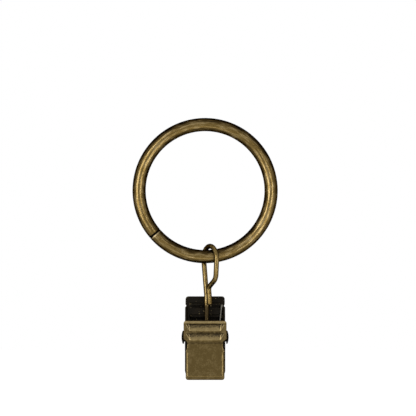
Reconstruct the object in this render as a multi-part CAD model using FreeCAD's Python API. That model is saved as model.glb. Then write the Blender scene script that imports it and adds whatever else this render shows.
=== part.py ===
import FreeCAD, Part
import math
import os

# Curtain ring with clip, hanging as it does on a rod.
# The origin is the ring's centre, +Z is up, -Y is the front. Millimetres and degrees.

# Ring: one round bar bent to a circle, its two ends meeting at a butt seam
ring_bore = 38.0
ring_bar = 4.25
seam_gap = 0.06
seam_from_bottom = 49.3      # towards -X
seam_edge = 0.22

# Eyelet: one wire, a loop over the ring, a shank and a closed hook round the hinge pin
eye_wire = 1.6
eye_half_width = 4.1         # the loop's centre line, across its own plane
eye_turn = 30.0              # the loop's plane, from edge-on
eye_seat = 0.35              # between the ring's bar and the loop's crown
leg_slant = 9.0
leg_length = 11.35
kink_radius = 3.0
shank_length = 12.7
shank_side = 0.5             # from the clip's middle, towards +X
front_leg_slant = 5.0
front_leg_length = 4.4
front_turn = 52.0
front_bend = 3.0
tail_bend = 1.5
tail_length = 4.55
tail_gap = 0.1
hook_wrap = 285.0
cut_edge = 0.15

# Hinge pin: a rivet with two domed heads
pin_diameter = 1.8
head_diameter = 4.2
head_rim = 0.4
head_dome = 0.4
collar_diameter = 2.9
collar_height = 0.3
rivet_fit = 0.03
ear_play = 0.08
hook_play = 0.1

# Both plates are pressed from one gauge of sheet
sheet = 0.6
wall_fold = 1.0              # outside radius where the back plate folds forward
ear_fold = 0.75              # outside radius where the front plate folds back
crease = 1.5                 # radius of the long bends across a plate
lip_bend = 0.6
plate_play = 0.15            # between the front plate's ears and the back plate's walls
tip_drop = 13.2              # pin axis to the jaws' tips
tip_forward = 2.5
lip_height = 1.1
lip_depth = 0.75
jaw_gap = 0.1

clip_width = 12.9            # over the back plate's folded walls
jaw_step = 0.25              # how much narrower both jaws are, each side

# Back plate
back_top = 12.8
back_corner = 1.0
tab_step = 0.1               # how much narrower the plate is above its walls, each side
relief = 0.35                # radius of the notch where a wall's fold ends
back_throat = 2.95
back_crease_drop = 1.2
grip_lean = 12.0
wall_top = 9.4
wall_foot = 11.0
wall_end_depth = 1.3
wall_foot_depth = 1.1
wall_corner = 0.8
wall_lobe = 2.4

# Front plate
head_overhang = 0.35         # past the back plate, each side
head_top = 5.75
head_foot = 0.3              # the head's sides end this far below the pin
head_corner = 0.9
head_flare = 28.0
front_throat = 3.05
front_crease_drop = 1.7
neck_top = 1.1
neck_foot = 2.9
neck_round = 0.5
jaw_shoulder = 4.6
jaw_corner = 0.9
jaw_fold = 0.9               # outside radius of the jaw's turned-in edges
jaw_edge_depth = 1.1         # how deep those edges turn in
ear_lobe = 2.2

# Pressed finger grooves, two on each plate
groove_height = 2.6          # along the plate
front_groove_depth = 0.85
back_groove_depth = 0.7
groove_floor = 0.45
groove_steep = 0.45          # run of the upper wall, from mouth to floor
groove_end = 0.55            # run of the end walls
boss_grow = 0.35             # how much wider and deeper the boss is than its groove
front_groove_side = 0.7      # plate's edge to the groove's upper corners
front_groove_taper = 1.3     # how much further in its lower corners are
front_upper_groove = 3.75    # height of its middle above the pin
front_lower_groove = 0.7
back_groove_side = 1.45
back_groove_taper = 0.7
back_upper_groove = 9.3
back_lower_groove = 5.5

# Torsion spring round the pin
spring_wire = 0.7
spring_play = 0.2
spring_pitch = 0.72
spring_side = 0.3            # between its outer leg and the front plate's ear
spring_hook_side = 0.1       # at least, between its coils and the eyelet's hook
spring_end = 0.8             # each leg runs on past the groove that it presses on
spring_touch = 0.05


def yz(y, z):
    return FreeCAD.Vector(0, y, z)


def lean(angle):
    """Unit step up and back in the YZ plane, from the vertical."""
    return yz(math.sin(math.radians(angle)), math.cos(math.radians(angle)))


def square_to(step):
    """The step turned a quarter towards the front."""
    return yz(-step.z, step.y)


# Places that several pieces share
touching = 1e-4              # two points closer than this are one
x_axis = FreeCAD.Vector(1, 0, 0)
y_axis = FreeCAD.Vector(0, 1, 0)
z_axis = FreeCAD.Vector(0, 0, 1)
ring_radius = (ring_bore + ring_bar) / 2
hook_radius = pin_diameter / 2 + hook_play + eye_wire / 2
turn = math.radians(eye_turn)
loop_across = FreeCAD.Vector(math.sin(turn), -math.cos(turn), 0)
loop_normal = z_axis.cross(loop_across)
clip_half = clip_width / 2
jaw_half = clip_half - jaw_step
head_half = clip_half + head_overhang
wall_inside = clip_half - sheet
ear_outside = wall_inside - plate_play
ear_inside = ear_outside - sheet
beyond = 4 * clip_width      # far enough to cut through the whole clip


def route(start, heading, steps):
    """Walks a bent wire: returns its solids' data and where it ends."""
    legs = []
    place = start
    course = heading
    for step in steps:
        if step[0] == "run":
            there = place + course * step[1]
            legs.append(("run", place, course, step[1]))
            place = there
            continue
        radius, angle, normal = step[1:]
        side = normal.cross(course) * math.copysign(radius, angle)
        centre = place + side
        legs.append(("bend", place, course, centre, normal * math.copysign(1, angle), abs(angle)))
        swing = FreeCAD.Rotation(normal, angle)
        place = centre + swing.multVec(place - centre)
        course = swing.multVec(course)
    return legs, place, course


def wire_solid(legs, radius):
    """Turns the walked runs and bends into one round wire."""
    pieces = []
    for leg in legs:
        disc = Part.Face(Part.Wire(Part.makeCircle(radius, leg[1], leg[2])))
        if leg[0] == "run":
            pieces.append(disc.extrude(leg[2] * leg[3]))
        else:
            pieces.append(disc.revolve(leg[3], leg[4], leg[5]))
    return pieces[0].fuse(pieces[1:]).removeSplitter()


def soften(solid, radius, chosen):
    """Rounds the edges that the test picks."""
    edges = [edge for edge in solid.Edges if chosen(edge)]
    return solid.makeFillet(radius, edges)


def middle(edge):
    return edge.valueAt((edge.FirstParameter + edge.LastParameter) / 2)


def shifted(points, distance):
    """A bent line moved sideways, to the right of its own direction."""
    moved = []
    last = len(points) - 1
    for index, point in enumerate(points):
        before = (point - points[index - 1]).normalize() if index > 0 else None
        after = (points[index + 1] - point).normalize() if index < last else None
        before = before or after
        after = after or before
        side = square_to(before) * -1 + square_to(after) * -1
        side.normalize()
        moved.append(point + side * (distance / side.dot(square_to(before) * -1)))
    return moved


def outline(points, radii, closed=True):
    """Edges through the points, with each corner rounded by its own radius."""
    count = len(points)
    starts = list(points)
    ends = list(points)
    arcs = [None] * count
    for index in range(count):
        radius = radii[index]
        if radius <= 0 or (not closed and index in (0, count - 1)):
            continue
        corner = points[index]
        back = (points[index - 1] - corner).normalize()
        ahead = (points[(index + 1) % count] - corner).normalize()
        half = math.acos(max(-1.0, min(1.0, back.dot(ahead)))) / 2
        reach = radius / math.tan(half)
        ends[index] = corner + back * reach
        starts[index] = corner + ahead * reach
        bulge = (back + ahead).normalize()
        crown = corner + bulge * (radius / math.sin(half) - radius)
        arcs[index] = Part.Arc(ends[index], crown, starts[index]).toShape()
    edges = []
    for index in range(count if closed else count - 1):
        following = (index + 1) % count
        if starts[index].distanceToPoint(ends[following]) > touching:
            edges.append(Part.LineSegment(starts[index], ends[following]).toShape())
        if arcs[following]:
            edges.append(arcs[following])
    return Part.Wire(edges)


def across(wire, half_width):
    """A flat outline in the YZ plane, made solid over the clip's width."""
    face = Part.Face(wire)
    face.translate(x_axis * -half_width)
    return face.extrude(x_axis * (2 * half_width))


def strip(inner, radii, half_width):
    """Sheet whose inner face follows a bent line from the top down."""
    outer = shifted(inner, -front_or_back(inner) * sheet)
    grown = grown_radii(inner, radii)
    faces = outline(inner, radii, closed=False).Edges + outline(outer, grown, closed=False).Edges
    caps = [Part.LineSegment(inner[end], outer[end]).toShape() for end in (0, -1)]
    return across(Part.Wire(Part.sortEdges(faces + caps)[0]), half_width)


def front_or_back(inner):
    """1 for a plate behind the pin, -1 for one in front."""
    return math.copysign(1, inner[1].y)


def grown_radii(inner, radii):
    """Bend radii on the plate's outer face."""
    grown = []
    for index, radius in enumerate(radii):
        if radius <= 0:
            grown.append(0)
            continue
        before = inner[index] - inner[index - 1]
        after = inner[index + 1] - inner[index]
        inwards = before.cross(after).x * front_or_back(inner)
        grown.append(radius - math.copysign(sheet, inwards))
    return grown


def line_at(inner, drop):
    """The point of a bent line at a height, counted down from the pin."""
    for upper, lower in zip(inner, inner[1:]):
        if upper.z >= -drop >= lower.z:
            share = (upper.z + drop) / (upper.z - lower.z)
            return upper + (lower - upper) * share
    return inner[-1]


def tangent_point(point, radius, towards):
    """Where a line from the point touches the circle round the pin."""
    distance = point.Length
    angle = math.atan2(point.z, point.y) + towards * math.acos(radius / distance)
    return yz(radius * math.cos(angle), radius * math.sin(angle))


def folded(inner, radii, edge, edge_radii, half_width, fold):
    """A stretch of plate with both sides folded in: a bent channel with round folds."""
    side = front_or_back(inner)
    outer = shifted(inner, -side * sheet)
    grown = grown_radii(inner, radii)
    block = across(outline(outer + edge, grown + edge_radii), half_width)
    block = soften(block, fold, long_edges(outline(outer, grown, closed=False), half_width))
    top = (inner[0] - inner[1]).normalize()
    foot = (inner[-1] - inner[-2]).normalize()
    far = yz(-side * beyond, 0)
    lining = [inner[0] + top * half_width] + list(inner[1:-1]) + [inner[-1] + foot * half_width]
    hollow_face = outline(lining + [lining[-1] + far, lining[0] + far], list(radii) + [0, 0])
    hollow_half = half_width - sheet
    hollow = across(hollow_face, hollow_half)
    hollow = soften(hollow, fold - sheet, long_edges(outline(lining, radii, closed=False), hollow_half))
    return block.cut(hollow)


def long_edges(guide, half_width):
    """Test for the edges that follow a line at both sides of the plate."""
    def follows(edge):
        point = middle(edge)
        at_side = abs(abs(point.x) - half_width) < touching
        return at_side and guide.distToShape(Part.Vertex(yz(point.y, point.z)))[0] < touching
    return follows


def plan(half_outline, radii):
    """The plate's outline seen from the front, mirrored and made deep."""
    right = [FreeCAD.Vector(x, 0, z) for x, z in half_outline]
    left = [FreeCAD.Vector(-x, 0, z) for x, z in reversed(half_outline)]
    wire = outline(right + left, list(radii) + list(reversed(radii)))
    face = Part.Face(wire)
    face.translate(y_axis * -beyond)
    return face.extrude(y_axis * (2 * beyond))


def side_pair(half_inside, half_outside, low, high):
    """Two upright boxes, one each side of the clip."""
    boxes = []
    for near in (half_inside, -half_outside):
        corner = FreeCAD.Vector(near, -beyond, low)
        boxes.append(Part.makeBox(half_outside - half_inside, 2 * beyond, high - low, corner))
    return boxes


def pin_bar(radius, half_length):
    return Part.makeCylinder(radius, 2 * half_length, x_axis * -half_length, x_axis)


def ear_pair(radius, half_inside, half_outside):
    """A disc round the pin at each side, the end of a folded wall."""
    bar = pin_bar(radius, half_outside)
    return bar.cut(pin_bar(beyond, half_inside))


def groove_form(place, up, inwards, depth, top_half, foot_half, grow):
    """A boat-shaped tub pressed into a plate; grown, it is the boss on the other side."""
    high = groove_height / 2 + grow
    floor_top = high - groove_steep
    floor_foot = floor_top - groove_floor

    def level(half_top, half_foot, top, foot, deep):
        corners = [(half_top, top), (half_foot, foot), (-half_foot, foot), (-half_top, top)]
        points = [place + x_axis * x + up * v + inwards * deep for x, v in corners]
        return Part.makePolygon(points + points[:1])

    mouth = level(top_half + grow, foot_half + grow, high, -high, 0)
    top_share = (high - floor_top) / (2 * high)
    foot_share = (high - floor_foot) / (2 * high)
    taper = top_half - foot_half
    floor_half = top_half + grow - groove_end
    floor = level(floor_half - taper * top_share, floor_half - taper * foot_share,
                  floor_top, floor_foot, depth + grow)
    return Part.makeLoft([mouth, floor], True, True)


def groove_pair(inner, heights, up, inwards, depth, side, taper):
    """Grooves and their bosses for one plate, each at its height above the pin."""
    bosses = []
    grooves = []
    for height in heights:
        place = line_at(inner, -height) - inwards * sheet
        bosses.append(groove_form(place, up, inwards, depth, side, side - taper, boss_grow))
        grooves.append(groove_form(place, up, inwards, depth, side, side - taper, 0))
    return bosses, grooves


def back_line():
    """Inner face of the back plate, from the top edge down to the lip."""
    bend = yz(back_throat, -back_crease_drop)
    rise = lean(grip_lean)
    top = bend + rise * ((back_top + back_crease_drop) / rise.z)
    share = (tip_drop - lip_height) / tip_drop
    lip = yz(-tip_forward * share + lip_depth, -tip_drop + lip_height)
    tip = yz(-tip_forward + jaw_gap / 2, -tip_drop)
    return [top, bend, lip, tip]


def front_line():
    """Inner face of the front plate, from the top edge down to the lip."""
    bend = yz(-front_throat, -front_crease_drop)
    rise = lean(-head_flare)
    top = bend + rise * ((head_top + front_crease_drop) / rise.z)
    share = (tip_drop - lip_height) / tip_drop
    lip = yz(-tip_forward * share - lip_depth, -tip_drop + lip_height)
    tip = yz(-tip_forward - jaw_gap / 2, -tip_drop)
    return [top, bend, lip, tip]


def lowest(inner):
    """Height of the outer face's bottom edge."""
    return shifted(inner, -front_or_back(inner) * sheet)[-1].z


def crop(inner, radii, high, low):
    """The stretch of a bent line between two heights."""
    kept = [(line_at(inner, -high), 0)]
    kept += [(p, r) for p, r in zip(inner, radii) if low < p.z < high]
    kept.append((line_at(inner, -low), 0))
    return [p for p, r in kept], [r for p, r in kept]


def ring():
    half_gap = math.degrees(seam_gap / 2 / ring_radius)
    centre = FreeCAD.Vector(0, 0, 0)
    disc = Part.Face(Part.Wire(Part.makeCircle(ring_bar / 2, z_axis * -ring_radius, x_axis)))
    disc.rotate(centre, y_axis, seam_from_bottom + half_gap)
    bar = disc.revolve(centre, y_axis, 360 - 2 * half_gap)
    return soften(bar, seam_edge, lambda edge: edge.Closed and edge.Length < 2 * math.pi * ring_bar)


def eyelet():
    legs, ends, _ = eyelet_legs()
    wire = wire_solid(legs, eye_wire / 2)

    def at_end(edge):
        return min(edge.CenterOfMass.distanceToPoint(end) for end in ends) < touching

    return soften(wire, cut_edge, at_end)


def eyelet_legs():
    """Walks the wire from its crown both ways, and finds the pin's centre."""
    loop_x = shank_side - leg_shift()
    crown_z = ring_crown(loop_x) + eye_seat + eye_wire / 2
    crown = FreeCAD.Vector(loop_x, 0, crown_z)
    back_way = [
        ("bend", eye_half_width, 90 + leg_slant, loop_normal * -1),
        ("run", leg_length),
        ("bend", kink_radius, -leg_slant, loop_normal * -1),
        ("run", shank_length),
    ]
    back_legs, shank_end, down = route(crown, loop_across * -1, back_way)
    pin_centre = shank_end - y_axis * hook_radius
    hook_legs, hook_end, _ = route(shank_end, down, [("bend", hook_radius, hook_wrap, x_axis * -1)])

    first_way = [
        ("bend", eye_half_width, 90 + front_leg_slant, loop_normal),
        ("run", front_leg_length),
        ("bend", front_bend, front_turn, loop_normal),
    ]
    last_turn = front_leg_slant + front_turn + leg_slant
    first_legs, turned, course = route(crown, loop_across, first_way)
    _, swung, tail_course = route(turned, course, [("bend", tail_bend, -last_turn, loop_normal)])
    leg_start = back_legs[1][1]
    off_leg = tail_course.cross(loop_normal)
    room = (swung - leg_start).dot(off_leg)
    spare = abs(room) - (eye_wire + tail_gap)
    reach = spare / math.sin(math.radians(last_turn))
    second_way = [
        ("run", reach),
        ("bend", tail_bend, -last_turn, loop_normal),
        ("run", tail_length),
    ]
    second_legs, tail_end, _ = route(turned, course, second_way)
    return back_legs + hook_legs + first_legs + second_legs, [hook_end, tail_end], pin_centre


def leg_shift():
    """How far the shank stands from the loop's middle, along X."""
    slant = math.radians(leg_slant)
    inward = leg_length * math.sin(slant) + kink_radius * (1 - math.cos(slant))
    return (-eye_half_width * math.cos(slant) + inward) * loop_across.x


def ring_crown(x):
    """Height of the bar's upper side at the bottom of the ring."""
    return -math.sqrt(ring_radius ** 2 - x ** 2) + ring_bar / 2


def back_plate():
    inner = back_line()
    radii = [0, crease, lip_bend, 0]
    flat = strip(inner, radii, clip_half)
    foot = lowest(inner)
    tab_half = clip_half - tab_step
    shape = [(tab_half, back_top), (tab_half, wall_top), (clip_half, wall_top), (clip_half, -wall_foot),
             (jaw_half, -wall_foot - sheet), (jaw_half, foot)]
    flat = flat.common(plan(shape, [back_corner, 0, 0, 0, 0, jaw_corner]))
    stretch, stretch_radii = crop(inner, radii, wall_top, -wall_foot)
    grip = lean(grip_lean)
    head_end = stretch[0] + square_to(grip) * wall_end_depth
    foot_run = (inner[2] - inner[1]).normalize()
    foot_end = stretch[-1] + yz(foot_run.z, -foot_run.y) * wall_foot_depth
    edge = [foot_end, tangent_point(foot_end, wall_lobe, -1), tangent_point(head_end, wall_lobe, 1), head_end]
    channel = folded(stretch, stretch_radii, edge, [wall_corner, 0, 0, wall_corner], clip_half, wall_fold)
    for box in side_pair(clip_half - wall_fold, clip_half + sheet, -wall_foot, wall_top):
        flat = flat.cut(box)
    side = clip_half - back_groove_side
    heights = [back_upper_groove, back_lower_groove]
    inwards = square_to(grip)
    bosses, grooves = groove_pair(inner, heights, grip, inwards, back_groove_depth, side, back_groove_taper)
    plate = flat.fuse([channel, ear_pair(wall_lobe, wall_inside, clip_half)] + bosses)
    notches = [through_hole(side * clip_half, wall_top + relief) for side in (-1, 1)]
    plate = plate.cut(grooves + notches + [pin_bar(pin_diameter / 2 + rivet_fit, clip_width)])
    return plate.removeSplitter()


def through_hole(x, z):
    """A relief notch's cutter, front to back through the clip."""
    return Part.makeCylinder(relief, 2 * beyond, FreeCAD.Vector(x, -beyond, z), y_axis)


def front_plate():
    inner = front_line()
    radii = [0, crease, lip_bend, 0]
    flat = strip(inner, radii, head_half)
    foot = lowest(inner)
    shape = [(head_half, head_top), (head_half, -head_foot), (ear_outside, -neck_top),
             (ear_outside, -neck_foot), (jaw_half, -jaw_shoulder), (jaw_half, foot)]
    flat = flat.common(plan(shape, [head_corner, neck_round, neck_round, neck_round, neck_round, jaw_corner]))
    jaw_end = lip_height - tip_drop
    jaw, jaw_radii = crop(inner, radii, -jaw_shoulder, jaw_end)
    run = (jaw[1] - jaw[0]).normalize()
    turned_in = square_to(run) * (jaw_edge_depth - sheet)
    jaw_edges = folded(jaw, jaw_radii, [jaw[1] + turned_in, jaw[0] + turned_in], [0, 0], jaw_half, jaw_fold)
    for box in side_pair(jaw_half - jaw_fold, jaw_half + sheet, jaw_end, -jaw_shoulder):
        flat = flat.cut(box)
    rise = lean(-head_flare)
    side = head_half - front_groove_side
    heights = [front_upper_groove, front_lower_groove]
    inwards = square_to(rise) * -1
    bosses, grooves = groove_pair(inner, heights, rise, inwards, front_groove_depth, side, front_groove_taper)
    stretch, stretch_radii = crop(inner, radii, -neck_top, -neck_foot)
    low = yz(stretch[-1].y + sheet, -neck_foot)
    edge = [low, tangent_point(low, ear_lobe, 1), tangent_point(stretch[0], ear_lobe, -1)]
    ears = folded(stretch, stretch_radii, edge, [0, 0, 0], ear_outside, ear_fold)
    plate = flat.fuse([jaw_edges, ears, ear_pair(ear_lobe, ear_inside, ear_outside)] + bosses)
    plate = plate.cut(grooves + [pin_bar(pin_diameter / 2 + ear_play, clip_width)])
    return plate.removeSplitter()


def hinge_pin():
    """Both halves of the rivet: shaft, collar and domed head, turned about the pin's axis."""
    wall = clip_half
    under_head = wall + collar_height
    rim = under_head + head_rim
    head = head_diameter / 2
    shaft = pin_diameter / 2
    collar = collar_diameter / 2
    profile = [(0, 0), (0, shaft), (wall, shaft), (wall, collar), (under_head, collar),
               (under_head, head), (rim, head)]
    points = [FreeCAD.Vector(x, 0, z) for x, z in profile]
    edges = [Part.LineSegment(a, b).toShape() for a, b in zip(points, points[1:])]
    sphere = (head ** 2 + head_dome ** 2) / (2 * head_dome)
    sag = sphere - math.sqrt(sphere ** 2 - head ** 2 / 4)
    summit = FreeCAD.Vector(rim + head_dome, 0, 0)
    midway = FreeCAD.Vector(rim + head_dome - sag, 0, head / 2)
    edges.append(Part.Arc(points[-1], midway, summit).toShape())
    edges.append(Part.LineSegment(summit, points[0]).toShape())
    half = Part.Face(Part.Wire(edges)).revolve(FreeCAD.Vector(0, 0, 0), x_axis, 360)
    other = half.mirror(FreeCAD.Vector(0, 0, 0), x_axis)
    return half.fuse(other).removeSplitter()


def torsion_spring():
    """Close coils round the pin, a leg up the back plate and one up the front plate's head."""
    radius = spring_wire / 2
    coil = pin_diameter / 2 + spring_play + radius
    proud = boss_grow - sheet + radius + spring_touch
    grip = square_to(lean(grip_lean))
    head = square_to(lean(-head_flare)) * -1
    back_touch = line_at(back_line(), -back_upper_groove) + grip * (back_groove_depth + proud)
    front_touch = line_at(front_line(), -front_upper_groove) + head * (front_groove_depth + proud)
    back_start = tangent_point(back_touch, coil, -1)
    front_start = tangent_point(front_touch, coil, 1)
    back_angle = math.degrees(math.atan2(back_start.z, back_start.y))
    front_angle = math.degrees(math.atan2(front_start.z, front_start.y))
    part_turn = (back_angle - front_angle) / 360 % 1
    outer_x = ear_inside - spring_side - radius
    hook_end = shank_side + eye_wire / 2 + spring_hook_side + radius
    turns = part_turn + math.floor((outer_x - hook_end) / spring_pitch - part_turn)
    length = spring_pitch * turns
    inner_x = outer_x - length

    helix = Part.makeHelix(spring_pitch, length, coil)
    upright = FreeCAD.Rotation(FreeCAD.Vector(1, 1, 1), 120)
    placed = FreeCAD.Rotation(x_axis, front_angle).multiply(upright)
    helix.Placement = FreeCAD.Placement(x_axis * inner_x, placed)
    start = x_axis * inner_x + front_start
    end = x_axis * outer_x + back_start
    rate = spring_pitch / (2 * math.pi * coil)
    start_course = (square_to(front_start) * (1 / coil) + x_axis * rate).normalize()
    end_course = (square_to(back_start) * (1 / coil) + x_axis * rate).normalize()
    disc = Part.Wire(Part.makeCircle(radius, start, start_course))
    coils = Part.Wire(helix.Edges).makePipeShell([disc], True, True)
    front_reach = (front_upper_groove + spring_end - start.z) / -start_course.z
    back_reach = (back_upper_groove + spring_end - end.z) / end_course.z
    front_leg = Part.makeCylinder(radius, front_reach, start, start_course * -1)
    back_leg = Part.makeCylinder(radius, back_reach, end, end_course)
    return coils.fuse([front_leg, back_leg]).removeSplitter()


def write(name, shape, place):
    shape.translate(place)
    solid = shape.Solids[0] if len(shape.Solids) == 1 else shape
    print(name, len(shape.Solids), "solid", round(shape.Volume, 2), "mm3", shape.isValid())
    solid.exportStep(os.path.join("parts", name + ".step"))


os.makedirs("parts", exist_ok=True)
here = FreeCAD.Vector(0, 0, 0)
pin_place = eyelet_legs()[2]
pin_place.x = 0
write("ring", ring(), here)
write("eyelet", eyelet(), here)
write("back_plate", back_plate(), pin_place)
write("front_plate", front_plate(), pin_place)
write("hinge_pin", hinge_pin(), pin_place)
write("torsion_spring", torsion_spring(), pin_place)
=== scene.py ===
import math

import bmesh
import bpy
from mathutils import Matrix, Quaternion, Vector


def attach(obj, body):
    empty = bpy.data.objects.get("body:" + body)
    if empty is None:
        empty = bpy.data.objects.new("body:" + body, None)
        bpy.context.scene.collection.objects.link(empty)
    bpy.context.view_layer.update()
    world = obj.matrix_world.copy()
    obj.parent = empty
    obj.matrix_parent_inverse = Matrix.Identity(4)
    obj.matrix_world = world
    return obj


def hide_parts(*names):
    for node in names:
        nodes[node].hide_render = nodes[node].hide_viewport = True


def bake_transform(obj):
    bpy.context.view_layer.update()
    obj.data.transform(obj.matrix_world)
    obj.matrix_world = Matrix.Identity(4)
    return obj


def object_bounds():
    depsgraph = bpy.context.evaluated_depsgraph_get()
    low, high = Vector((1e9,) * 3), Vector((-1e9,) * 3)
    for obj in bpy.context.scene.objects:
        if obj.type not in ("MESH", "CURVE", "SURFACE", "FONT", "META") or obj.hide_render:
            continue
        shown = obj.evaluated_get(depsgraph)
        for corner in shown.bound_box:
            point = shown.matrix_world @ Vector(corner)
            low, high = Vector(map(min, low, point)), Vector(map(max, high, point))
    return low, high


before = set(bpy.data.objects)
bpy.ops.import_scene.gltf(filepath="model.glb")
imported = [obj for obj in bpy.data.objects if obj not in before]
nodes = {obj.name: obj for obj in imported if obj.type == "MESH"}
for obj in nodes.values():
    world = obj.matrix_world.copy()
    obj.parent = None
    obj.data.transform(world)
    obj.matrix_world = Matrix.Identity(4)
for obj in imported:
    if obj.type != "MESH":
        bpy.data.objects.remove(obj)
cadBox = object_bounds()
print("frame: " + ", ".join(sorted(nodes)))

mm = 0.001


# Node helpers
def newGroup(name, inputs, outputs):
    group = bpy.data.node_groups.new(name, "ShaderNodeTree")
    for way, sockets in (("INPUT", inputs), ("OUTPUT", outputs)):
        for label, kind in sockets.items():
            group.interface.new_socket(label, in_out=way, socket_type="NodeSocket" + kind)
    return group, group.nodes.new("NodeGroupInput"), group.nodes.new("NodeGroupOutput")


# Links a socket, or sets a plain value
def plug(tree, value, socket):
    if isinstance(value, bpy.types.NodeSocket):
        tree.links.new(value, socket)
    else:
        socket.default_value = value


def maths(tree, operation, first, second=None, clamp=False):
    node = tree.nodes.new("ShaderNodeMath")
    node.operation = operation
    node.use_clamp = clamp
    plug(tree, first, node.inputs[0])
    if second is not None:
        plug(tree, second, node.inputs[1])
    return node.outputs[0]


def times(tree, first, second):
    return maths(tree, "MULTIPLY", first, second)


# Maps low..high smoothly to toLow..toHigh
def spread(tree, value, low, high, toLow=0.0, toHigh=1.0):
    node = tree.nodes.new("ShaderNodeMapRange")
    node.interpolation_type = "SMOOTHSTEP"
    plug(tree, value, node.inputs["Value"])
    plug(tree, low, node.inputs["From Min"])
    plug(tree, high, node.inputs["From Max"])
    plug(tree, toLow, node.inputs["To Min"])
    plug(tree, toHigh, node.inputs["To Max"])
    return node.outputs["Result"]


def axes(tree, vector):
    node = tree.nodes.new("ShaderNodeSeparateXYZ")
    tree.links.new(vector, node.inputs[0])
    return node.outputs


def blendColour(tree, share, first, second):
    node = tree.nodes.new("ShaderNodeMix")
    node.data_type = "RGBA"
    plug(tree, share, node.inputs[0])
    plug(tree, first, node.inputs[6])
    plug(tree, second, node.inputs[7])
    return node.outputs[2]


def noise(tree, vector, scale, detail, roughness):
    node = tree.nodes.new("ShaderNodeTexNoise")
    plug(tree, vector, node.inputs["Vector"])
    plug(tree, scale, node.inputs["Scale"])
    node.inputs["Detail"].default_value = detail
    node.inputs["Roughness"].default_value = roughness
    return node.outputs["Fac"]


# 1 for rays from the camera, reflections and glass
def seenDirectly(tree):
    path = tree.nodes.new("ShaderNodeLightPath")
    seen = maths(tree, "MAXIMUM", path.outputs["Is Camera Ray"], path.outputs["Is Glossy Ray"])
    return maths(tree, "MAXIMUM", seen, path.outputs["Is Transmission Ray"])


# Camera: square on to the ring, a long lens well in front
camera = {
    "lens": 150.0,
    "sensor": 36.0,
    "photoSide": 416,            # pixels
    "ringAt": (205.1, 190.6),    # the ring's centre in the photograph, pixels
    "mmPerPixel": 0.32,
}


def aimAt(thing, target):
    look = Vector(target) - thing.location
    thing.rotation_mode = "QUATERNION"
    thing.rotation_quaternion = look.to_track_quat("-Z", "Y")


def buildCamera():
    data = bpy.data.cameras.new("camera")
    data.lens = camera["lens"]
    data.sensor_width = camera["sensor"]
    side = camera["photoSide"] * camera["mmPerPixel"] * mm
    away = side * camera["lens"] / camera["sensor"]
    middle = camera["photoSide"] / 2
    x = (middle - camera["ringAt"][0]) * camera["mmPerPixel"] * mm
    z = (camera["ringAt"][1] - middle) * camera["mmPerPixel"] * mm
    cam = bpy.data.objects.new("camera", data)
    bpy.context.scene.collection.objects.link(cam)
    cam.location = (x, -away, z)
    aimAt(cam, (x, 0, z))
    bpy.context.scene.camera = cam


# Lamps: soft panels round the ring, all at one distance. turn goes round from the camera,
# rise goes up, and roll leans the panel's top over.
lamps = {
    "away": 0.42,
    "aim": (0, 0, -0.02),
    "panels": {
        "left": {"turn": -36, "rise": 3, "roll": -24, "size": (0.11, 0.37), "watts": 1.0},
        "right": {"turn": 27, "rise": -10, "roll": 20, "size": (0.075, 0.32), "watts": 0.6},
        "low": {"turn": 0, "rise": -38, "roll": 0, "size": (0.30, 0.12), "watts": 0.2},
        "top": {"turn": 5, "rise": 80, "roll": 0, "size": (0.25, 0.20), "watts": 0.2},
        "back": {"turn": 200, "rise": 20, "roll": 0, "size": (0.25, 0.30), "watts": 0.9},
    },
}


def buildLamps():
    for name, panel in lamps["panels"].items():
        data = bpy.data.lights.new(name, "AREA")
        data.shape = "RECTANGLE"
        data.size, data.size_y = panel["size"]
        data.energy = panel["watts"]
        light = bpy.data.objects.new(name, data)
        bpy.context.scene.collection.objects.link(light)
        turn = math.radians(panel["turn"])
        rise = math.radians(panel["rise"])
        level = math.cos(rise)
        out = Vector((math.sin(turn) * level, -math.cos(turn) * level, math.sin(rise)))
        light.location = out * lamps["away"]
        aimAt(light, lamps["aim"])
        light.rotation_quaternion @= Quaternion((0, 0, 1), math.radians(panel["roll"]))


# Room: white all round, and a pale floor well below the hanging ring. The floor is lifted less
# under the ring, where it shows a faint shadow.
room = {
    "white": (1, 1, 1, 1),
    "fill": 0.3,
    "floorDrop": 320 * mm,       # below the jaws
    "floorSide": 8.0,
    "floorColour": (0.86, 0.86, 0.85, 1),
    "liftBetween": (0.4, 1.3),   # distances over which the lift changes
    "lift": (0.5, 0.8),
}


def buildWorld():
    world = bpy.data.worlds.new("room")
    bpy.context.scene.world = world
    world.use_nodes = True
    tree = world.node_tree
    tree.nodes.clear()
    output = tree.nodes.new("ShaderNodeOutputWorld")
    seen = tree.nodes.new("ShaderNodeBackground")
    seen.inputs["Color"].default_value = room["white"]
    fill = tree.nodes.new("ShaderNodeBackground")
    fill.inputs["Color"].default_value = room["white"]
    fill.inputs["Strength"].default_value = room["fill"]
    mix = tree.nodes.new("ShaderNodeMixShader")
    tree.links.new(seenDirectly(tree), mix.inputs[0])
    tree.links.new(fill.outputs[0], mix.inputs[1])
    tree.links.new(seen.outputs[0], mix.inputs[2])
    tree.links.new(mix.outputs[0], output.inputs["Surface"])


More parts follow.
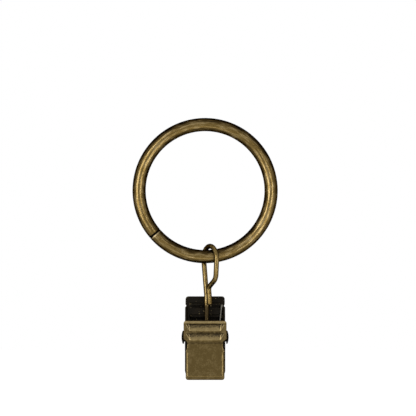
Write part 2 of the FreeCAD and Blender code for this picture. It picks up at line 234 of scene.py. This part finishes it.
def floorMaterial():
    material = bpy.data.materials.new("paleFloor")
    material.use_nodes = True
    tree = material.node_tree
    tree.nodes.clear()
    output = tree.nodes.new("ShaderNodeOutputMaterial")
    matte = tree.nodes.new("ShaderNodeBsdfDiffuse")
    matte.inputs["Color"].default_value = room["floorColour"]
    glow = tree.nodes.new("ShaderNodeEmission")
    glow.inputs["Color"].default_value = room["white"]
    where = tree.nodes.new("ShaderNodeTexCoord")
    length = tree.nodes.new("ShaderNodeVectorMath")
    length.operation = "LENGTH"
    tree.links.new(where.outputs["Object"], length.inputs[0])
    lift = spread(tree, length.outputs["Value"], *room["liftBetween"], *room["lift"])
    tree.links.new(times(tree, seenDirectly(tree), lift), glow.inputs["Strength"])
    both = tree.nodes.new("ShaderNodeAddShader")
    tree.links.new(matte.outputs[0], both.inputs[0])
    tree.links.new(glow.outputs[0], both.inputs[1])
    tree.links.new(both.outputs[0], output.inputs["Surface"])
    return material


def buildFloor():
    form = bmesh.new()
    bmesh.ops.create_grid(form, x_segments=1, y_segments=1, size=room["floorSide"] / 2)
    below = (0, 0, cadBox[0].z - room["floorDrop"])
    bmesh.ops.translate(form, vec=below, verts=form.verts)
    mesh = bpy.data.meshes.new("floor")
    form.to_mesh(mesh)
    form.free()
    mesh.materials.append(floorMaterial())
    floor = bpy.data.objects.new("floor", mesh)
    bpy.context.scene.collection.objects.link(floor)


bpy.context.scene.view_settings.view_transform = "Standard"
buildCamera()
buildLamps()
buildWorld()
buildFloor()
print("room: camera, lamps, world and floor")

# Patterns: the noise, which of its values count, and its share of the bump
patterns = {
    "blotch": {"detail": 3.0, "roughness": 0.5, "counts": (0.3, 0.7), "height": 0.4},
    "grain": {"detail": 3.0, "roughness": 0.6, "counts": (0.32, 0.68), "height": 0.6},
    "speck": {"detail": 1.0, "roughness": 0.5, "counts": (0.72, 0.78), "scale": 1900.0},
}


# Blotches and specks over the piece, and a fine grain that may be drawn out along a wire
def mottleGroup():
    group, inside, outside = newGroup(
        "mottle",
        {"Point": "Vector", "Along": "Vector", "Blotch Scale": "Float", "Grain Scale": "Float"},
        {"Blotch": "Float", "Grain": "Float", "Speck": "Float", "Height": "Float"},
    )

    def pattern(name, vector, scale):
        settings = patterns[name]
        value = noise(group, vector, scale, settings["detail"], settings["roughness"])
        shown = spread(group, value, *settings["counts"])
        group.links.new(shown, outside.inputs[name.capitalize()])
        return value

    point = inside.outputs["Point"]
    blotch = pattern("blotch", point, inside.outputs["Blotch Scale"])
    grain = pattern("grain", inside.outputs["Along"], inside.outputs["Grain Scale"])
    pattern("speck", point, patterns["speck"]["scale"])
    coarse = times(group, blotch, patterns["blotch"]["height"])
    fine = times(group, grain, patterns["grain"]["height"])
    group.links.new(maths(group, "ADD", coarse, fine), outside.inputs["Height"])
    return group


# Tones: where, on the mask of relief and painted shade, black turns to brown and brown to olive,
# and how rough the metal is before and after
tones = {
    "brown": (0.0, 0.4),
    "olive": (0.3, 1.0),
    "roughness": (0.42, 0.3),
    "middle": 0.5,               # of a pattern, where it changes nothing
}


# Black for the blackened finish and for painted shade, olive brass where the finish was worn back,
# paler where it is worn and where a highlight is painted
def agedGroup():
    group, inside, outside = newGroup(
        "agedBrass",
        {
            "Relieved": "Float",
            "Rubbed": "Float",
            "Specks": "Float",
            "Blotch": "Float",
            "Grain": "Float",
            "Blotchiness": "Float",
            "Graininess": "Float",
            "Black": "Color",
            "Brown": "Color",
            "Olive": "Color",
            "Bright": "Color",
        },
        {"Color": "Color", "Roughness": "Float"},
    )

    def mark(pattern, strength):
        off = maths(group, "SUBTRACT", inside.outputs[pattern], tones["middle"])
        return times(group, off, inside.outputs[strength])

    marks = maths(group, "ADD", mark("Blotch", "Blotchiness"), mark("Grain", "Graininess"))
    uneven = maths(group, "ADD", inside.outputs["Relieved"], marks)
    low = spread(group, uneven, *tones["brown"])
    high = spread(group, uneven, *tones["olive"])
    colour = blendColour(group, low, inside.outputs["Black"], inside.outputs["Brown"])
    colour = blendColour(group, high, colour, inside.outputs["Olive"])
    shine = maths(group, "ADD", inside.outputs["Rubbed"], times(group, marks, high), clamp=True)
    shine = maths(group, "MAXIMUM", shine, inside.outputs["Specks"])
    colour = blendColour(group, shine, colour, inside.outputs["Bright"])
    group.links.new(colour, outside.inputs["Color"])
    rough = spread(group, high, 0.0, 1.0, *tones["roughness"])
    group.links.new(rough, outside.inputs["Roughness"])
    return group


# How far a surface faces front or back, in the piece's own space. What faces away turns dark: the
# blackened finish on the plates, a painted dark reflection on the sides of the ring and the wire
def facingGroup():
    group, inside, outside = newGroup(
        "facing",
        {"Normal": "Vector", "Low": "Float", "High": "Float", "Least": "Float"},
        {"Both": "Float", "Front": "Float", "Back": "Float"},
    )
    toBack = axes(group, inside.outputs["Normal"])["Y"]
    ways = {
        "Both": maths(group, "ABSOLUTE", toBack),
        "Front": times(group, toBack, -1.0),
        "Back": toBack,
    }
    limits = [inside.outputs[label] for label in ("Low", "High", "Least")]
    for label, share in ways.items():
        group.links.new(spread(group, share, *limits), outside.inputs[label])
    return group


recessSamples = 8


# Open ground against recesses, where the dark finish stays and shade is painted
def recessGroup():
    group, inside, outside = newGroup(
        "recess",
        {"Reach": "Float", "Low": "Float", "High": "Float", "Least": "Float"},
        {"Open": "Float"},
    )
    shade = group.nodes.new("ShaderNodeAmbientOcclusion")
    shade.samples = recessSamples
    group.links.new(inside.outputs["Reach"], shade.inputs["Distance"])
    limits = [inside.outputs[label] for label in ("Low", "High", "Least")]
    group.links.new(spread(group, shade.outputs["AO"], *limits), outside.inputs["Open"])
    return group


groups = {
    "mottle": mottleGroup(),
    "aged": agedGroup(),
    "facing": facingGroup(),
    "recess": recessGroup(),
}


# A group in a material. An underscore in a name stands for a space.
def place(tree, name, **values):
    node = tree.nodes.new("ShaderNodeGroup")
    node.node_tree = groups[name]
    for label, value in values.items():
        plug(tree, value, node.inputs[label.replace("_", " ")])
    return node


grainStretch = {
    "share": 0.12,               # grain lengths are drawn out to 1/share
    "seamTurn": 40.7,            # degrees; brings the break in the ring's angle to the seam
    "barRadius": 21.1 * mm,      # from the ring's centre to the middle of its bar
}


# Grain coordinates: even, drawn out up and down, or drawn out round the ring
def evenGrain(tree, point):
    return point


def uprightGrain(tree, point):
    stretch = tree.nodes.new("ShaderNodeMapping")
    stretch.inputs["Scale"].default_value = (1, 1, grainStretch["share"])
    tree.links.new(point, stretch.inputs["Vector"])
    return stretch.outputs["Vector"]


def ringGrain(tree, point):
    turn = tree.nodes.new("ShaderNodeMapping")
    turn.inputs["Rotation"].default_value = (0, math.radians(grainStretch["seamTurn"]), 0)
    tree.links.new(point, turn.inputs["Vector"])
    x, y, z = axes(tree, turn.outputs["Vector"])
    angle = maths(tree, "ARCTAN2", z, x)
    radius = maths(tree, "SQRT", maths(tree, "ADD", times(tree, x, x), times(tree, z, z)))
    run = times(tree, angle, grainStretch["barRadius"] * grainStretch["share"])
    join = tree.nodes.new("ShaderNodeCombineXYZ")
    for value, socket in zip((run, radius, y), join.inputs):
        tree.links.new(value, socket)
    return join.outputs[0]


# Worn marks, and painted light and shade. Each one darkens or brightens the masks where its own
# dictionary says, and a pair of numbers there is where the change begins and where it is complete.
def darken(tree, masks, mask):
    masks["relieved"] = times(tree, masks["relieved"], mask)


def brighten(tree, masks, mask):
    masks["rubbed"] = maths(tree, "ADD", masks["rubbed"], mask)


# Painted shade on the wire inside the clip
def shadeWire(tree, surface, shade, masks):
    darken(tree, masks, spread(tree, surface["height"], *shade["between"], shade["least"]))


# Painted shade in the cut ends at the seam, and a painted highlight on one lip
def markSeam(tree, surface, ends, masks):
    run = maths(tree, "ABSOLUTE", surface["run"])
    fromBreak = maths(tree, "DIVIDE", run, grainStretch["share"])
    fromSeam = maths(tree, "SUBTRACT", math.pi * grainStretch["barRadius"], fromBreak)
    clear = spread(tree, fromSeam, *ends["dark"])
    lip = times(tree, clear, spread(tree, fromSeam, *ends["lip"], 1.0, 0.0))
    lip = times(tree, lip, maths(tree, "LESS_THAN", surface["run"], 0.0))
    darken(tree, masks, clear)
    brighten(tree, masks, times(tree, lip, ends["shine"]))


# Painted shade on what faces up
def shadeUpFacing(tree, surface, upShade, masks):
    darken(tree, masks, spread(tree, surface["up"], *upShade["up"], 1.0, upShade["least"]))


# Dark finish left in recesses, and painted shade there
def darkenRecesses(tree, surface, recess, masks):
    low, high = recess["open"]
    node = place(tree, "recess", Reach=recess["reach"], Low=low, High=high, Least=recess["least"])
    darken(tree, masks, node.outputs["Open"])


# A painted shadow line where the sheet folds below the head
def shadowCrease(tree, surface, crease, masks):
    off = maths(tree, "ABSOLUTE", maths(tree, "SUBTRACT", surface["height"], crease["height"]))
    darken(tree, masks, spread(tree, off, 0.0, crease["reach"], crease["least"]))


# Painted shade on the groove floors, broken by scratches
def shadeGrooveFloors(tree, surface, floors, masks):
    inside = spread(tree, surface["across"], *floors["halfWidth"], 1.0, 0.0)
    least = spread(tree, surface["grain"], *floors["scratches"], *floors["least"])
    for foot, top in floors["bands"]:
        aboveFoot = spread(tree, surface["height"], foot - floors["soft"], foot)
        belowTop = spread(tree, surface["height"], top, top + floors["soft"], 1.0, 0.0)
        band = times(tree, times(tree, aboveFoot, belowTop), inside)
        darken(tree, masks, spread(tree, band, 0.0, 1.0, 1.0, least))


# Painted highlights on the groove walls that face up, and on the groove ends
def highlightGrooves(tree, surface, pressed, masks):
    onHead = spread(tree, surface["height"], *pressed["above"])
    walls = spread(tree, surface["up"], *pressed["rise"], 0.0, pressed["wallShine"])
    brighten(tree, masks, times(tree, walls, onHead))
    ends = spread(tree, surface["sideways"], *pressed["sideways"])
    inGroove = spread(tree, surface["across"], *pressed["within"], 1.0, 0.0)
    ends = times(tree, times(tree, ends, inGroove), onHead)
    masks["relieved"] = maths(tree, "MAXIMUM", masks["relieved"], ends)
    brighten(tree, masks, times(tree, ends, pressed["endShine"]))


# A painted highlight along the head's top, darker at the very top edge
def markTopEdge(tree, surface, top, masks):
    brighten(tree, masks, spread(tree, surface["height"], *top["lip"], 0.0, top["shine"]))
    darken(tree, masks, spread(tree, surface["height"], *top["edge"], 1.0, top["least"]))


# Paler towards the sheet's long edges
def paleTowardsSides(tree, surface, paleSides, masks):
    brighten(tree, masks, spread(tree, surface["across"], *paleSides["from"], 0.0, paleSides["shine"]))


# Worn and chipped edges, partly a painted highlight, and dark hollows, where the finish is kept
# dark and shade is painted
def edgesAndHollows(tree, surface, edges, masks):
    form = tree.nodes.new("ShaderNodeNewGeometry")
    bend = form.outputs["Pointiness"]
    darken(tree, masks, spread(tree, bend, *edges["hollow"], edges["least"]))
    worn = spread(tree, bend, *edges["sharp"], 0.0, edges["shine"])
    brighten(tree, masks, worn)
    chips = times(tree, worn, edges["chips"])
    masks["specks"] = maths(tree, "MAXIMUM", masks["specks"], chips)


wearAndPaintedLight = {
    "shade": shadeWire,
    "seam": markSeam,
    "upShade": shadeUpFacing,
    "recess": darkenRecesses,
    "crease": shadowCrease,
    "floors": shadeGrooveFloors,
    "pressed": highlightGrooves,
    "topEdge": markTopEdge,
    "paleSides": paleTowardsSides,
    "edges": edgesAndHollows,
}

never = (2.0, 3.0)               # a facing that no surface reaches
always = (-2.0, -1.0)            # a facing that every surface passes

# What all the looks share
brass = {
    "grainPoint": evenGrain,
    "blotch": 700.0,
    "grain": 3200.0,
    "uneven": (0.3, 0.3),        # blotches, grain
    "side": "Both",
    "facing": (0.15, 0.75),      # from black to olive
    "least": 0.0,
    # The crown, where the metal faces front or back, is worn bright and partly a painted highlight
    "crown": never,              # where it is rubbed
    "crownShine": 0.0,
    "speck": 0.0,
    "black": (0.005, 0.004, 0.003, 1),
    "brown": (0.030, 0.020, 0.008, 1),
    "olive": (0.115, 0.078, 0.027, 1),
    "bright": (0.50, 0.385, 0.19, 1),
    "specular": 0.2,
    "rim": (0.02, 0.016, 0.01, 1),
    "bump": 0.4,
    "bumpDepth": 0.05 * mm,
}


def agedMaterial(name, look):
    material = bpy.data.materials.new(name)
    material.use_nodes = True
    tree = material.node_tree
    shader = tree.nodes["Principled BSDF"]
    where = tree.nodes.new("ShaderNodeTexCoord")
    point = where.outputs["Object"]
    normal = where.outputs["Normal"]
    along = look["grainPoint"](tree, point)
    mottle = place(tree, "mottle", Point=point, Along=along,
                   Blotch_Scale=look["blotch"], Grain_Scale=look["grain"])

    def facing(limits, least):
        low, high = limits
        node = place(tree, "facing", Normal=normal, Low=low, High=high, Least=least)
        return node.outputs[look["side"]]

    masks = {
        "relieved": facing(look["facing"], look["least"]),
        "rubbed": times(tree, facing(look["crown"], 0.0), look["crownShine"]),
        "specks": times(tree, mottle.outputs["Speck"], look["speck"]),
    }
    spot = axes(tree, point)
    way = axes(tree, normal)
    surface = {
        "across": maths(tree, "ABSOLUTE", spot["X"]),
        "height": spot["Z"],
        "sideways": maths(tree, "ABSOLUTE", way["X"]),
        "up": way["Z"],
        "run": axes(tree, along)["X"],
        "grain": mottle.outputs["Grain"],
    }
    for kind, work in wearAndPaintedLight.items():
        if kind in look:
            work(tree, surface, look[kind], masks)
    aged = place(tree, "aged", Relieved=masks["relieved"], Specks=masks["specks"],
                 Rubbed=times(tree, masks["rubbed"], masks["relieved"]),
                 Blotch=mottle.outputs["Blotch"], Blotchiness=look["uneven"][0],
                 Grain=mottle.outputs["Grain"], Graininess=look["uneven"][1],
                 Black=look["black"], Brown=look["brown"],
                 Olive=look["olive"], Bright=look["bright"])
    tree.links.new(aged.outputs["Color"], shader.inputs["Base Color"])
    tree.links.new(aged.outputs["Roughness"], shader.inputs["Roughness"])
    shader.inputs["Metallic"].default_value = 1.0
    shader.inputs["Specular IOR Level"].default_value = look["specular"]
    shader.inputs["Specular Tint"].default_value = look["rim"]
    bump = tree.nodes.new("ShaderNodeBump")
    bump.inputs["Strength"].default_value = look["bump"]
    bump.inputs["Distance"].default_value = look["bumpDepth"]
    tree.links.new(mottle.outputs["Height"], bump.inputs["Height"])
    tree.links.new(bump.outputs["Normal"], shader.inputs["Normal"])
    return material


# A finish on the solid itself
def coat(node, name, look):
    nodes[node].data.materials.clear()
    nodes[node].data.materials.append(agedMaterial(name, look))


eyeLook = dict(
    brass,
    grainPoint=uprightGrain,
    blotch=900.0,
    uneven=(0.15, 0.25),
    # the wire's sides get a painted dark reflection
    facing=(0.3, 0.95),
    least=0.42,
    crown=(0.8, 1.0),
    crownShine=0.05,
    olive=(0.125, 0.084, 0.027, 1),
    shade={"between": (-37.5 * mm, -35.5 * mm), "least": 0.32},
)
coat("eyelet", "wireBrass", eyeLook)

pinLook = dict(brass, facing=never)
coat("hinge_pin", "pinBlack", pinLook)

print("eyelet and pin: finishes on the solids")

copies = {
    "mergeReach": 0.001 * mm,
    "sharpAngle": 40,            # degrees; sharper edges stay sharp
}


# A piece of its own with the solid's mesh, merged
def mergedCopy(node, name, look):
    form = bmesh.new()
    form.from_mesh(nodes[node].data)
    bmesh.ops.remove_doubles(form, verts=form.verts, dist=copies["mergeReach"])
    mesh = bpy.data.meshes.new(name)
    form.to_mesh(mesh)
    form.free()
    mesh.materials.append(agedMaterial(name + "Finish", look))
    piece = bpy.data.objects.new(name, mesh)
    bpy.context.scene.collection.objects.link(piece)
    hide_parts(node)
    return piece


def shadeSmooth(piece):
    piece.data.shade_smooth()
    piece.data.set_sharp_from_angle(angle=math.radians(copies["sharpAngle"]))


ringLook = dict(
    brass,
    grainPoint=ringGrain,
    blotch=420.0,
    grain=2600.0,
    uneven=(0.16, 0.36),
    # the bar's sides get a painted dark reflection
    facing=(0.6, 0.98),
    least=0.4,
    crown=(0.8, 1.0),
    crownShine=0.05,
    brown=(0.031, 0.0195, 0.0062, 1),
    olive=(0.120, 0.079, 0.0235, 1),
    bright=(0.54, 0.43, 0.24, 1),
    upShade={"up": (-0.05, 0.6), "least": 0.48},
    seam={"dark": (0.294 * mm, 0.42 * mm), "lip": (0.54 * mm, 0.9 * mm), "shine": 0.6},
)

# The ring's cut ends meet, so that no light shows through its seam
seam = {
    "reach": 0.05 * mm,          # how far from the seam's middle the cut ends lie at most
    "closed": 0.93,              # share of the gap that is taken up
}


def closedRing():
    piece = mergedCopy("ring", "ringBar", ringLook)
    turn = math.radians(grainStretch["seamTurn"])
    towards = Vector((-math.cos(turn), 0, -math.sin(turn)))
    across = Vector((math.sin(turn), 0, -math.cos(turn)))
    for vertex in piece.data.vertices:
        off = vertex.co.dot(across)
        if vertex.co.dot(towards) > 0 and abs(off) < seam["reach"]:
            vertex.co -= across * off * seam["closed"]
    shadeSmooth(piece)
    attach(piece, "ring")


closedRing()
print("ring: seam closed")

# The spring: a merged copy, smooth shaded and set in world space
springLook = dict(
    brass,
    facing=always,
    olive=(0.21, 0.20, 0.165, 1),
    bright=(0.45, 0.44, 0.38, 1),
)
spring = mergedCopy("torsion_spring", "spring", springLook)
shadeSmooth(spring)
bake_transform(spring)

soft = {
    "voxel": 0.115 * mm,
    "factor": 0.5,
    "rounds": 4,
}


# A sheet piece with its pressed edges rounded
def softenedCopy(node, name, look):
    piece = mergedCopy(node, name, look)
    remesh = piece.modifiers.new("even", "REMESH")
    remesh.mode = "VOXEL"
    remesh.voxel_size = soft["voxel"]
    remesh.use_smooth_shade = True
    smooth = piece.modifiers.new("rounded", "SMOOTH")
    smooth.factor = soft["factor"]
    smooth.iterations = soft["rounds"]
    return piece


plateEdges = {"sharp": (0.515, 0.575), "hollow": (0.44, 0.49), "least": 0.4}
plateLook = dict(
    brass,
    facing=(-0.35, 0.45),
    uneven=(0.12, 0.12),
    black=(0.009, 0.0078, 0.006, 1),
    olive=(0.081, 0.0555, 0.0195, 1),
    recess={"reach": 2.0 * mm, "open": (0.72, 0.995), "least": 0.3},
)

frontLook = dict(
    plateLook,
    side="Front",
    crease={"height": -48.6 * mm, "reach": 0.6 * mm, "least": 0.6},
    floors={
        "bands": ((-43.3 * mm, -42.4 * mm), (-46.4 * mm, -44.9 * mm)),
        "soft": 0.4 * mm,
        "halfWidth": (4.6 * mm, 5.8 * mm),
        "scratches": (0.3, 0.8),
        "least": (0.38, 1.0),
    },
    pressed={
        "above": (-48.2 * mm, -47.6 * mm),
        "rise": (-0.35, 0.0),
        "wallShine": 0.26,
        "within": (5.9 * mm, 6.2 * mm),
        "sideways": (0.2, 0.45),
        "endShine": 0.5,
    },
    topEdge={
        "lip": (-42.1 * mm, -41.85 * mm),
        "shine": 0.3,
        "edge": (-41.6 * mm, -41.35 * mm),
        "least": 0.5,
    },
    paleSides={"from": (4.4 * mm, 6.2 * mm), "shine": 0.08},
    edges=dict(plateEdges, shine=0.12, chips=0.2),
)
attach(softenedCopy("front_plate", "frontPlate", frontLook), "clip_front")

backLook = dict(
    plateLook,
    side="Back",
    speck=0.4,
    # the back plate's edges and ridges shine: partly worn, partly a painted highlight
    edges=dict(plateEdges, shine=0.4, chips=0.4),
)
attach(softenedCopy("back_plate", "backPlate", backLook), "clip_back")
print("plates: rounded copies")
